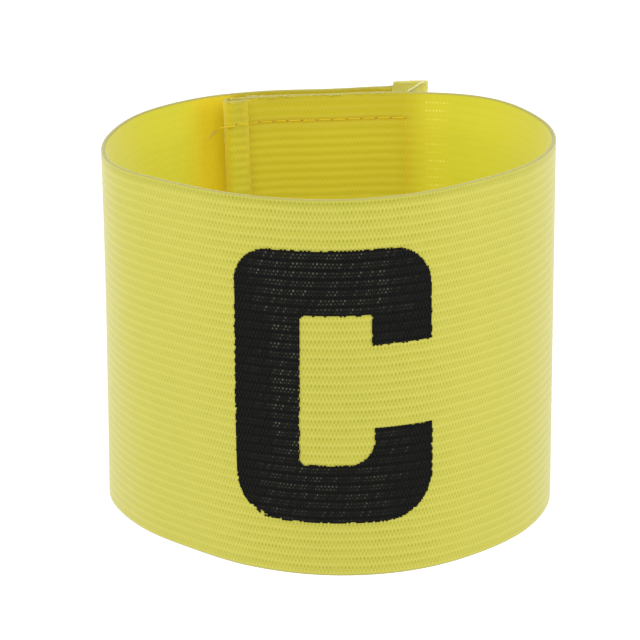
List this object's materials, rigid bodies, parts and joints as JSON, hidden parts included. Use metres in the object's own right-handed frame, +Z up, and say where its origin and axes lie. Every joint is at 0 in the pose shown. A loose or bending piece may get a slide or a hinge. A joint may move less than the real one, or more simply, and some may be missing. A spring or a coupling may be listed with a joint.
{
  "type": "elastic armband",
  "caption": "Knitted elastic armband closed into a ring by a hidden hook-and-loop overlap at the back, with a printed block letter on the front.",
  "frame": {"origin": "middle of the footprint, on the surface that the armband stands on", "axes": "+Z up along the ring's axis, -Y towards the viewer who reads the letter, +X to that viewer's right"},
  "size_m": [0.0905, 0.0829, 0.0767],
  "materials": {
    "knitted_elastic": "bright yellow ribbed knitted elastic, matt",
    "hook_patch": "woven patch with fine stiff hooks",
    "loop_patch": "woven patch with a soft brushed pile",
    "letter_print": "matt black print in the knit",
    "sewing_thread": "golden twisted sewing thread"
  },
  "bodies": {
    "root": {"elastic_band": "knitted_elastic", "hook_tape": "hook_patch", "loop_tape": "loop_patch", "printed_letter": "letter_print"}
  },
  "joints": []
}
